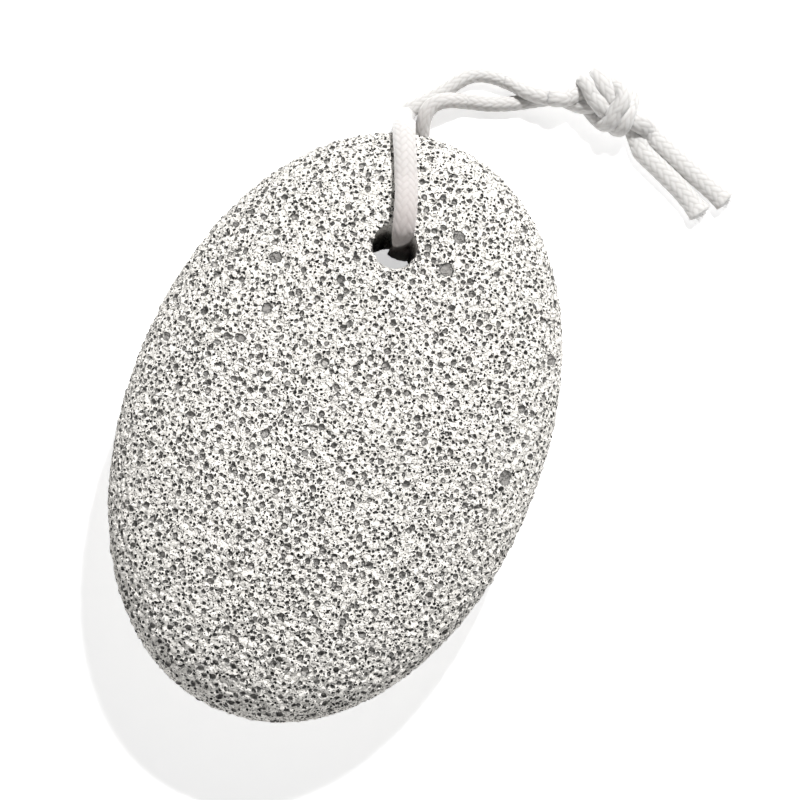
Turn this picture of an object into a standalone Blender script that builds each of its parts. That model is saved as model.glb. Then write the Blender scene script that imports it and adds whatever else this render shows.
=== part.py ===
"""Oval pumice stone with a drilled hole and a knotted hanging cord, lying on its back.

The stone's long axis lies along Y with the hole towards +Y. Z = 0 is the surface that the stone
rests on, and the origin is under the middle of the stone. All lengths are in metres.
"""

import math

import bmesh
import bpy
import numpy as np
from mathutils import Matrix, Vector

MM = 0.001

# Driving dimensions of the stone: an oval pillow whose upper face is a little fuller than its back.
STONE_LENGTH = 90.0 * MM
STONE_WIDTH = 61.3 * MM
RIM_HEIGHT = 13.1 * MM
CROWN_RISE = 13.6 * MM
BACK_DROP = 13.4 * MM
OUTLINE_POWER = 2.056
CROWN_POWER = 2.3
BACK_POWER = 2.0
STONE_SEGMENTS = 40
STONE_RINGS = 22

# The drilled hole, upright through the pillow, with its mouths worn into small chamfers.
HOLE_X = -1.66 * MM
HOLE_Y = 25.8 * MM
HOLE_RADIUS = 3.2 * MM
FRONT_MOUTH_HEIGHT = 25.0 * MM
BACK_MOUTH_HEIGHT = 2.6 * MM
FRONT_CHAMFER = 0.35 * MM
BACK_CHAMFER = 1.6 * MM
HOLE_STEPS = 24

# The pits: burst bubbles of seeded sizes and places, and the few large ones set by hand.
PIT_SEED = 11
PIT_COUNT = 266
PIT_TRIES = 16
PIT_RADIUS_LEAST = 0.7 * MM
PIT_RADIUS_MOST = 1.35 * MM
PIT_SIZE_POWER = 2.2
PIT_SPACING = 0.35 * MM
PIT_SIDES = 5
PIT_FLOOR_SHARE = 0.55
PIT_DEPTH_SHARE = 0.8
PIT_STRETCH_LEAST = 0.85
PIT_STRETCH_MOST = 1.15
LARGE_PIT_SINK = 0.12
LARGE_PIT_SQUASH = 0.8
PIT_LOWEST = 1.6 * MM
HOLE_MARGIN = 1.3 * MM
# x, y and radius of each large pit on the upper face, in millimetres.
LARGE_PITS = (
    (-16.6, 17.8, 1.15),
    (-15.4, 10.4, 1.05),
    (6.6, 30.8, 1.15),
    (6.7, 25.2, 1.25),
    (-17.2, 4.8, 1.0),
    (25.6, 0.8, 1.3),
    (-27.6, 1.7, 0.95),
    (25.5, 19.8, 1.1),
)

# The cord: one braided string in two strands, knotted together, with two short tails.
CORD_DIAMETER = 2.4 * MM
CORD_POINT_SPACING = 2.0 * CORD_DIAMETER
CURVE_STEPS = 24
# Up out of the hole, over the crown and the stone's end, down to the table, then round to the knot.
FRONT_ROUTE = (
    (-0.60, 26.25, 12.85),
    (-0.60, 26.15, 17.00),
    (-0.75, 26.10, 21.00),
    (-0.95, 26.45, 24.10),
    (-1.25, 27.70, 26.35),
    (-1.75, 29.70, 27.30),
    (-2.35, 31.70, 27.05),
    (-3.10, 34.10, 25.70),
    (-4.06, 36.48, 23.85),
    (-4.91, 38.58, 22.60),
    (-5.65, 40.35, 21.50),
    (-6.35, 42.01, 20.20),
    (-6.80, 43.45, 19.05),
    (-7.15, 44.85, 17.10),
    (-7.35, 45.75, 13.60),
    (-7.50, 46.40, 10.20),
    (-7.70, 47.70, 6.40),
    (-7.75, 49.10, 3.30),
    (-7.30, 50.50, 1.60),
    (-6.30, 51.80, 1.20),
    (-5.10, 53.20, 1.20),
    (-3.50, 55.40, 1.20),
    (-1.95, 57.60, 1.20),
    (-0.50, 58.90, 1.20),
    (1.20, 59.60, 1.20),
    (3.30, 59.90, 1.70),
    (5.40, 59.75, 2.70),
    (7.50, 59.35, 3.60),
    (9.75, 59.40, 4.00),
    (12.10, 59.90, 4.10),
    (15.20, 61.00, 4.20),
)
# Down out of the hole, along under the stone's end, up over the front strand and round to the knot.
BACK_ROUTE = (
    (-0.60, 26.25, 12.50),
    (-0.65, 26.15, 9.20),
    (-0.70, 26.00, 6.20),
    (-0.75, 26.60, 3.70),
    (-0.90, 28.30, 1.85),
    (-1.15, 30.80, 1.20),
    (-1.60, 34.50, 1.20),
    (-2.20, 38.50, 1.20),
    (-2.90, 42.50, 1.20),
    (-3.55, 45.60, 1.40),
    (-4.20, 47.30, 2.20),
    (-4.80, 48.80, 3.30),
    (-5.00, 50.30, 3.90),
    (-4.60, 51.80, 4.00),
    (-3.50, 53.00, 3.95),
    (-1.90, 54.00, 3.10),
    (0.30, 54.90, 1.80),
    (2.90, 55.60, 1.20),
    (5.80, 56.80, 1.20),
    (8.30, 58.20, 1.20),
    (10.60, 59.60, 1.20),
    (12.90, 60.80, 1.20),
    (15.00, 61.75, 1.20),
)
UPPER_TAIL_ROUTE = (
    (24.10, 61.95, 2.30),
    (26.90, 60.90, 1.30),
    (29.60, 59.80, 1.20),
    (32.30, 58.70, 1.20),
    (35.30, 57.60, 1.20),
    (38.30, 56.50, 1.20),
    (41.90, 55.20, 1.20),
)
LOWER_TAIL_ROUTE = (
    (23.10, 59.05, 2.20),
    (25.50, 58.20, 1.30),
    (28.30, 57.15, 1.20),
    (31.20, 55.95, 1.20),
    (34.20, 54.65, 1.20),
    (36.80, 53.30, 1.20),
    (39.00, 51.90, 1.20),
)

# The knot's outer form: a lumpy bead that lies on the table.
KNOT_CENTRE = (19.3 * MM, 62.2 * MM, 4.0 * MM)
KNOT_HALF_SIZES = (4.2 * MM, 5.0 * MM, 4.0 * MM)
KNOT_TURN = math.radians(21.8)
KNOT_SQUARENESS = 2.5
KNOT_LOBES = 3
KNOT_SUBDIVISIONS = 3
KNOT_LOBE_DEPTH = 0.07

PUMICE_COLOUR = (0.80, 0.79, 0.76, 1.0)
PUMICE_ROUGHNESS = 0.95
CORD_COLOUR = (0.88, 0.87, 0.85, 1.0)
CORD_ROUGHNESS = 0.75


def clear_scene():
    """Empties the scene of whatever it starts with."""
    for item in list(bpy.data.objects):
        bpy.data.objects.remove(item, do_unlink=True)


def new_collection(name):
    """A collection linked to the scene."""
    made = bpy.data.collections.new(name)
    bpy.context.scene.collection.children.link(made)
    return made


def new_material(name, colour, roughness):
    """A plain dielectric material."""
    made = bpy.data.materials.new(name)
    made.use_nodes = True
    shader = made.node_tree.nodes["Principled BSDF"]
    shader.inputs["Base Color"].default_value = colour
    shader.inputs["Roughness"].default_value = roughness
    shader.inputs["Metallic"].default_value = 0.0
    return made


def add_mesh_object(name, shape, collection, material=None):
    """Turns a bmesh into an object in the collection, and frees the bmesh."""
    mesh = bpy.data.meshes.new(name)
    shape.to_mesh(mesh)
    shape.free()
    if material is not None:
        mesh.materials.append(material)
    made = bpy.data.objects.new(name, mesh)
    collection.objects.link(made)
    return made


def make_cutter(cutter):
    """Keeps a cutter out of the finished part."""
    cutter.hide_render = True
    cutter.display_type = "WIRE"


def cut(target, cutter, name):
    """Takes the cutter's volume out of the target."""
    modifier = target.modifiers.new(name, "BOOLEAN")
    modifier.operation = "DIFFERENCE"
    modifier.solver = "EXACT"
    modifier.object = cutter


def pillow_point(direction):
    """The point of the pillow's surface that a unit direction of the sphere maps to."""
    x, y, z = direction
    flat = (abs(x) ** OUTLINE_POWER + abs(y) ** OUTLINE_POWER) ** (1 / OUTLINE_POWER)
    power = CROWN_POWER if z >= 0 else BACK_POWER
    reach = (flat**power + abs(z) ** power) ** (-1 / power)
    half_height = CROWN_RISE if z >= 0 else BACK_DROP
    return Vector(
        (
            reach * x * STONE_WIDTH / 2,
            reach * y * STONE_LENGTH / 2,
            RIM_HEIGHT + reach * z * half_height,
        )
    )


def pillow_normal(direction, step=0.01):
    """The outward normal at that point, from two short steps along the surface."""
    centre = Vector(direction).normalized()
    side = centre.orthogonal().normalized() * step
    along = centre.cross(side).normalized() * step
    here = pillow_point(centre)
    across_vector = pillow_point((centre + side).normalized()) - here
    along_vector = pillow_point((centre + along).normalized()) - here
    return across_vector.cross(along_vector).normalized()


def crown_direction(x, y):
    """The unit direction that maps to the crown above the point (x, y)."""
    across = x / (STONE_WIDTH / 2)
    along = y / (STONE_LENGTH / 2)
    flat = (abs(across) ** OUTLINE_POWER + abs(along) ** OUTLINE_POWER) ** (1 / OUTLINE_POWER)
    height = (1 - flat**CROWN_POWER) ** (1 / CROWN_POWER)
    return Vector((across, along, height)).normalized()


def build_blank(collection, material):
    """The whole pillow, before it is cut."""
    shape = bmesh.new()
    bmesh.ops.create_uvsphere(shape, u_segments=STONE_SEGMENTS, v_segments=STONE_RINGS, radius=1.0)
    for vertex in shape.verts:
        vertex.co = pillow_point(vertex.co.normalized())
    bmesh.ops.recalc_face_normals(shape, faces=shape.faces)
    stone = add_mesh_object("pumice_stone", shape, collection, material)
    return stone


def build_rest_cutter(collection):
    """A slab whose top is the table, which leaves the small flat spot that the stone rests on."""
    shape = bmesh.new()
    bmesh.ops.create_cube(shape, size=1.0)
    slab = (STONE_WIDTH, STONE_LENGTH, STONE_WIDTH)
    bmesh.ops.scale(shape, vec=slab, verts=shape.verts)
    bmesh.ops.translate(shape, vec=(0, 0, -STONE_WIDTH / 2), verts=shape.verts)
    slab_object = add_mesh_object("cutter_rest", shape, collection)
    make_cutter(slab_object)
    return slab_object


def build_hole_cutter(collection):
    """The drill's sweep: a turned profile that flares where the mouths are worn."""
    beyond = RIM_HEIGHT
    top_flare = HOLE_RADIUS + FRONT_CHAMFER + beyond
    low_flare = HOLE_RADIUS + BACK_CHAMFER + beyond
    profile = (
        (0.0, FRONT_MOUTH_HEIGHT + beyond),
        (top_flare, FRONT_MOUTH_HEIGHT + beyond),
        (HOLE_RADIUS, FRONT_MOUTH_HEIGHT - FRONT_CHAMFER),
        (HOLE_RADIUS, BACK_MOUTH_HEIGHT + BACK_CHAMFER),
        (low_flare, BACK_MOUTH_HEIGHT - beyond),
        (0.0, BACK_MOUTH_HEIGHT - beyond),
    )
    shape = bmesh.new()
    points = [shape.verts.new((radius, 0.0, height)) for radius, height in profile]
    for start, end in zip(points, points[1:]):
        shape.edges.new((start, end))
    cutter = add_mesh_object("cutter_hole", shape, collection)
    cutter.location = (HOLE_X, HOLE_Y, 0.0)
    screw = cutter.modifiers.new("turn", "SCREW")
    screw.axis = "Z"
    screw.steps = HOLE_STEPS
    screw.render_steps = HOLE_STEPS
    screw.use_merge_vertices = True
    screw.merge_threshold = 0.00001
    make_cutter(cutter)
    return cutter


def keeps_clear(place, radius, pits):
    """How far a new pit's edge is from the nearest other's, or -1 where it can't be cut."""
    from_hole = math.hypot(place.x - HOLE_X, place.y - HOLE_Y)
    if from_hole < HOLE_RADIUS + radius + HOLE_MARGIN or place.z < PIT_LOWEST:
        return -1.0
    return min((place - other).length - radius - other_radius for _, other, other_radius in pits)


def choose_pits():
    """(direction, place, radius) of every pit: the large ones, then seeded ones spread evenly."""
    pits = []
    for x, y, radius in LARGE_PITS:
        direction = crown_direction(x * MM, y * MM)
        pits.append((direction, pillow_point(direction), radius * MM))
    draw = np.random.default_rng(PIT_SEED)
    while len(pits) < PIT_COUNT:
        share = draw.random() ** PIT_SIZE_POWER
        radius = PIT_RADIUS_LEAST + share * (PIT_RADIUS_MOST - PIT_RADIUS_LEAST)
        tries = []
        for offer in draw.normal(size=(PIT_TRIES, 3)):
            direction = Vector(offer).normalized()
            place = pillow_point(direction)
            tries.append((keeps_clear(place, radius, pits), direction, place))
        room, direction, place = max(tries, key=lambda found: found[0])
        if room > PIT_SPACING:
            pits.append((direction, place, radius))
    return pits


def build_pit_cutter(collection):
    """Every pit in one cutter: a sunk ball for a large one, and a tapered cup for a small one."""
    draw = np.random.default_rng(PIT_SEED + 1)
    shape = bmesh.new()
    large = len(LARGE_PITS)
    for index, (direction, place, radius) in enumerate(choose_pits()):
        normal = pillow_normal(direction)
        spin = Matrix.Rotation(draw.random() * math.tau, 4, "Z")
        facing = normal.to_track_quat("Z", "Y").to_matrix().to_4x4()
        stretch = draw.uniform(PIT_STRETCH_LEAST, PIT_STRETCH_MOST)
        oval = Matrix.Diagonal((stretch, 1 / stretch, 1.0, 1.0))
        mouth = Matrix.Translation(place) @ facing @ spin @ oval
        if index < large:
            sink = Matrix.Translation((0, 0, -radius * LARGE_PIT_SINK))
            squash = Matrix.Diagonal((1.0, 1.0, LARGE_PIT_SQUASH, 1.0))
            bmesh.ops.create_icosphere(
                shape, subdivisions=2, radius=radius, matrix=mouth @ sink @ squash
            )
            continue
        # The cup reaches as far above the surface as below it, so its mouth is at its middle.
        widening = radius * (1 - PIT_FLOOR_SHARE)
        bmesh.ops.create_cone(
            shape,
            cap_ends=True,
            segments=PIT_SIDES,
            radius1=radius - widening,
            radius2=radius + widening,
            depth=2 * radius * PIT_DEPTH_SHARE,
            matrix=mouth,
        )
    pits = add_mesh_object("cutter_pits", shape, collection)
    make_cutter(pits)
    return pits


def build_stone(parts, cutters):
    """The pumice stone: a pillow with its rest spot, hole and pits cut out of it."""
    material = new_material("pumice", PUMICE_COLOUR, PUMICE_ROUGHNESS)
    stone = build_blank(parts, material)
    cut(stone, build_rest_cutter(cutters), "rest_spot")
    cut(stone, build_hole_cutter(cutters), "hole")
    cut(stone, build_pit_cutter(cutters), "pits")
    return stone


def smooth_curve(route):
    """A dense Catmull-Rom line through the route's points, never lower than a cord on the table."""
    points = np.array(route) * MM
    ends = np.vstack([2 * points[0] - points[1], points, 2 * points[-1] - points[-2]])
    dense = []
    for before, start, end, after in zip(ends, ends[1:], ends[2:], ends[3:]):
        for t in np.arange(CURVE_STEPS) / CURVE_STEPS:
            dense.append(
                0.5
                * (
                    2 * start
                    + (end - before) * t
                    + (2 * before - 5 * start + 4 * end - after) * t**2
                    + (3 * start - before - 3 * end + after) * t**3
                )
            )
    dense = np.array(dense + [points[-1]])
    dense[:, 2] = np.maximum(dense[:, 2], CORD_DIAMETER / 2)
    return dense


def evenly_spaced(line, spacing):
    """Points along a line, about the spacing apart, its two ends among them."""
    steps = np.linalg.norm(np.diff(line, axis=0), axis=1)
    along = np.concatenate([[0.0], np.cumsum(steps)])
    count = max(2, math.ceil(along[-1] / spacing) + 1)
    places = np.linspace(0.0, along[-1], count)
    return np.stack([np.interp(places, along, line[:, axis]) for axis in range(3)], axis=1)


def build_tube(name, route, collection, material):
    """A stretch of the cord as a round tube with closed ends."""
    points = evenly_spaced(smooth_curve(route), CORD_POINT_SPACING)
    curve = bpy.data.curves.new(name, "CURVE")
    curve.dimensions = "3D"
    curve.bevel_depth = CORD_DIAMETER / 2
    curve.bevel_resolution = 2
    curve.use_fill_caps = True
    spline = curve.splines.new("POLY")
    spline.points.add(len(points) - 1)
    for spot, place in zip(spline.points, points):
        spot.co = (*place, 1.0)
    spline.use_smooth = True
    curve.materials.append(material)
    tube = bpy.data.objects.new(name, curve)
    collection.objects.link(tube)
    return tube


def build_knot(collection, material):
    """The knot's outer form: a squarish bead with the low lobes of the strands that wind round it."""
    shape = bmesh.new()
    bmesh.ops.create_icosphere(shape, subdivisions=KNOT_SUBDIVISIONS, radius=1.0)
    for vertex in shape.verts:
        direction = vertex.co.normalized()
        winding = math.atan2(direction.y, direction.x) * KNOT_LOBES + direction.z * math.pi
        flare = 1 - direction.z**2
        lobe = 1 - KNOT_LOBE_DEPTH * flare * (1 - math.cos(winding)) / 2
        total = sum(abs(part) ** KNOT_SQUARENESS for part in direction)
        vertex.co = direction * lobe * total ** (-1 / KNOT_SQUARENESS)
    bmesh.ops.scale(shape, vec=KNOT_HALF_SIZES, verts=shape.verts)
    bmesh.ops.rotate(shape, matrix=Matrix.Rotation(KNOT_TURN, 3, "Z"), verts=shape.verts)
    bmesh.ops.translate(shape, vec=KNOT_CENTRE, verts=shape.verts)
    knot = add_mesh_object("cord_knot", shape, collection, material)
    knot.data.shade_smooth()
    return knot


def build_cord(parts):
    """The cord's plain solids, from the hole to the two tails."""
    material = new_material("cord", CORD_COLOUR, CORD_ROUGHNESS)
    build_tube("cord_front_strand", FRONT_ROUTE, parts, material)
    build_tube("cord_back_strand", BACK_ROUTE, parts, material)
    build_knot(parts, material)
    build_tube("cord_upper_tail", UPPER_TAIL_ROUTE, parts, material)
    build_tube("cord_lower_tail", LOWER_TAIL_ROUTE, parts, material)


def main():
    clear_scene()
    parts = new_collection("pumice_stone_on_cord")
    cutters = new_collection("cutters")
    cutters.hide_render = True
    build_stone(parts, cutters)
    build_cord(parts)


if __name__ == "__main__":
    main()
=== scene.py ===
"""Looks of the pumice stone on its knotted cord, lying on a pale table.

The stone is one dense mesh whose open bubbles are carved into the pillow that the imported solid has,
and the cord is two braided runs that leave the two mouths of the drilled hole, meet in a doubled
overhand knot and end in two cut tails. Lengths are in metres unless a name or comment says mm.
"""

import logging
import math
from collections.abc import Iterator
from dataclasses import dataclass
from enum import Enum
from itertools import product

import bmesh
import bpy
import numpy as np
from mathutils import Matrix, Vector, noise


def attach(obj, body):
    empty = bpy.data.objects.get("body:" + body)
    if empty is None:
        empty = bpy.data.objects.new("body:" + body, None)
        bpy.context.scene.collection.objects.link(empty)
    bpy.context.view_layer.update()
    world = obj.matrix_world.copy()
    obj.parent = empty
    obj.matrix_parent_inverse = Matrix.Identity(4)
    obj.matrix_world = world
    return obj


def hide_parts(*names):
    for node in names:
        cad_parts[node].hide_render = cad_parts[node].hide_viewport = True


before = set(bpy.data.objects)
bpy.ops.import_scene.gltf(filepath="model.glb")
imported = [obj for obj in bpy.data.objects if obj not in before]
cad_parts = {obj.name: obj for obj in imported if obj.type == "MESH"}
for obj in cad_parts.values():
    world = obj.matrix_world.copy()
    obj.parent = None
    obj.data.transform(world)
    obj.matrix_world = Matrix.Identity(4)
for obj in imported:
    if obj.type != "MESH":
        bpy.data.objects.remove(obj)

LOG = logging.getLogger("pumice_stone")
MM = 0.001
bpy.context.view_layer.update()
# Keeps a division from meeting zero.
TINY = 1e-12
# Farther, in mm, than any two places on the part lie apart.
FAR_MM = 1000.0
# The layers of the stone's mesh that hold each face's three nearest bubbles.
BUBBLE_LAYERS = ("bubble", "next_bubble", "third_bubble")

# Up out of the hole, over the crown and the stone's end, down to the table, then round to the knot.
FRONT_ROUTE_MM = (
    (-0.69, 28.20, 12.85),
    (-0.80, 28.15, 17.00),
    (-0.95, 27.95, 21.00),
    (-1.05, 27.60, 24.10),
    (-1.25, 28.00, 26.45),
    (-1.75, 29.70, 27.30),
    (-2.35, 31.70, 27.05),
    (-3.10, 34.10, 25.70),
    (-4.06, 36.48, 23.85),
    (-4.91, 38.58, 22.60),
    (-5.65, 40.35, 21.50),
    (-6.35, 42.01, 20.20),
    (-6.80, 43.45, 19.05),
    (-7.15, 44.85, 17.10),
    (-7.35, 45.75, 13.60),
    (-7.50, 46.40, 10.20),
    (-7.70, 47.70, 6.40),
    (-7.75, 49.10, 3.30),
    (-7.30, 50.50, 1.60),
    (-6.30, 51.80, 1.20),
    (-5.10, 53.20, 1.20),
    (-3.50, 55.40, 1.20),
    (-1.95, 57.60, 1.20),
    (-0.50, 58.90, 1.20),
    (1.20, 59.60, 1.20),
    (3.30, 59.90, 1.70),
    (5.40, 59.75, 2.70),
    (7.50, 59.35, 3.60),
    (9.75, 59.40, 4.00),
    (12.10, 59.90, 4.10),
)
# Down out of the hole, along under the stone's end, up over the front strand and round to the knot.
BACK_ROUTE_MM = (
    (-0.69, 28.20, 12.50),
    (-0.55, 28.15, 9.20),
    (-0.45, 28.15, 6.20),
    (-0.45, 28.45, 3.90),
    (-0.60, 29.60, 1.95),
    (-0.95, 30.80, 1.20),
    (-1.60, 34.50, 1.20),
    (-2.20, 38.50, 1.20),
    (-2.90, 42.50, 1.20),
    (-3.55, 45.60, 1.40),
    (-4.20, 47.30, 2.20),
    (-4.80, 48.80, 3.30),
    (-5.00, 50.30, 3.90),
    (-4.60, 51.80, 4.00),
    (-3.50, 53.00, 3.95),
    (-1.90, 54.00, 3.10),
    (0.30, 54.90, 1.80),
    (2.90, 55.60, 1.20),
    (5.80, 56.80, 1.20),
    (8.30, 58.20, 1.20),
    (10.60, 59.60, 1.20),
    (12.90, 60.80, 1.20),
)
UPPER_TAIL_ROUTE_MM = (
    (27.60, 60.60, 1.20),
    (29.60, 59.80, 1.20),
    (32.30, 58.70, 1.20),
    (35.30, 57.60, 1.20),
    (38.30, 56.50, 1.20),
    (41.90, 55.20, 1.20),
)
LOWER_TAIL_ROUTE_MM = (
    (27.00, 57.70, 1.20),
    (28.30, 57.15, 1.20),
    (31.20, 55.95, 1.20),
    (34.20, 54.65, 1.20),
    (36.80, 53.30, 1.20),
    (39.00, 51.90, 1.20),
)
# Each section is a share of a run's length, then the cord's width and its thickness there, in mm.
FRONT_SECTIONS = (
    (0.0, 3.4, 1.0),
    (0.05, 3.4, 1.3),
    (0.09, 3.4, 1.8),
    (0.32, 3.4, 1.9),
    (0.38, 2.6, 2.2),
    (0.42, 2.2, 2.3),
)
BACK_SECTIONS = (
    (0.0, 3.4, 1.0),
    (0.09, 3.4, 1.0),
    (0.14, 2.8, 2.0),
    (0.22, 2.0, 2.3),
    (0.30, 2.4, 2.2),
    (0.40, 2.3, 2.3),
)
KNOT_AND_TAIL_SECTIONS = (
    (0.52, 2.3, 2.3),
    (0.57, 2.8, 2.6),
    (0.82, 2.9, 2.6),
    (0.89, 3.1, 2.3),
    (1.0, 3.1, 2.2),
)

Colour = tuple[float, float, float, float]
Value = float | tuple[float, ...] | bpy.types.NodeSocket


def smooth_line(points: np.ndarray, steps: int = 16) -> np.ndarray:
    """Draws a Catmull-Rom line through points.

    Args:
        points: the points, one a row.
        steps: how many pieces each span is cut into.

    Returns:
        The dense line, its first and last points those given.
    """
    ends = np.vstack([2 * points[0] - points[1], points, 2 * points[-1] - points[-2]])
    before, start, end, after = ends[:-3, None], ends[1:-2, None], ends[2:-1, None], ends[3:, None]
    t = (np.arange(steps) / steps)[None, :, None]
    spans = 0.5 * (
        2 * start
        + (end - before) * t
        + (2 * before - 5 * start + 4 * end - after) * t**2
        + (3 * start - before - 3 * end + after) * t**3
    )
    return np.vstack([spans.reshape(-1, points.shape[1]), points[-1:]])


def arc_lengths(line: np.ndarray) -> np.ndarray:
    """The distance along a line of each of its points, from its first."""
    return np.concatenate([[0.0], np.cumsum(np.linalg.norm(np.diff(line, axis=0), axis=1))])


def evenly_spaced(line: np.ndarray, spacing: float) -> np.ndarray:
    """Reads a line again at even steps.

    Args:
        line: the points of a dense line.
        spacing: about how far apart the new points are.

    Returns:
        The new points, the line's two ends among them.
    """
    along = arc_lengths(line)
    count = max(3, round(along[-1] / spacing) + 1)
    places = np.linspace(0.0, along[-1], count)
    return np.stack([np.interp(places, along, line[:, axis]) for axis in range(3)], axis=1)


def normalised(vectors: np.ndarray) -> np.ndarray:
    """Each row at unit length."""
    return vectors / np.maximum(np.linalg.norm(vectors, axis=-1, keepdims=True), TINY)


def stand(name: str, mesh: bpy.types.Mesh) -> bpy.types.Object:
    """Puts a mesh in the scene as an object.

    Args:
        name: the object's name.
        mesh: its mesh.

    Returns:
        The object.
    """
    made = bpy.data.objects.new(name, mesh)
    bpy.context.scene.collection.objects.link(made)
    return made


@dataclass(frozen=True)
class Pillow:
    """The stone's form without its bubbles: an oval pillow, in mm, with a drilled hole."""

    length: float = 90.0
    width: float = 61.3
    rim_height: float = 13.1
    crown_rise: float = 13.6
    back_drop: float = 13.4
    outline_power: float = 2.056
    crown_power: float = 2.3
    back_power: float = 2.0
    hole_x: float = -1.66
    hole_y: float = 25.8
    hole_radius: float = 3.2

    def reach(self, points: np.ndarray) -> np.ndarray:
        """Measures how far out points lie.

        Args:
            points: places in mm, one a row.

        Returns:
            1 for each place on the pillow's surface, less inside it and more outside.
        """
        x = np.abs(points[:, 0]) / (self.width / 2)
        y = np.abs(points[:, 1]) / (self.length / 2)
        above = points[:, 2] >= self.rim_height
        height = np.where(above, self.crown_rise, self.back_drop)
        z = np.abs(points[:, 2] - self.rim_height) / height
        power = np.where(above, self.crown_power, self.back_power)
        flat = (x**self.outline_power + y**self.outline_power) ** (1 / self.outline_power)
        return np.maximum(flat**power + z**power, TINY) ** (1 / power)

    def outward(self, points: np.ndarray) -> tuple[np.ndarray, np.ndarray]:
        """Measures points against the pillow.

        Args:
            points: places in mm, one a row.

        Returns:
            Each place's distance outside the surface, negative inside, and the way straight out.
        """
        step = 0.02
        here = self.reach(points)
        slope = np.stack(
            [(self.reach(points + step * axis) - here) / step for axis in np.eye(3)], axis=1
        )
        steepness = np.linalg.norm(slope, axis=1, keepdims=True)
        return (here - 1) / steepness[:, 0], slope / np.maximum(steepness, TINY)

    def from_bore(self, points: np.ndarray) -> tuple[np.ndarray, np.ndarray]:
        """Measures points against the hole's axis.

        Args:
            points: places in mm, one a row.

        Returns:
            Each place's distance from the axis, and the way straight away from it.
        """
        away = points - np.array([self.hole_x, self.hole_y, 0.0])
        away[:, 2] = 0.0
        distance = np.linalg.norm(away, axis=1)
        return distance, away / np.maximum(distance, TINY)[:, None]


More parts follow.
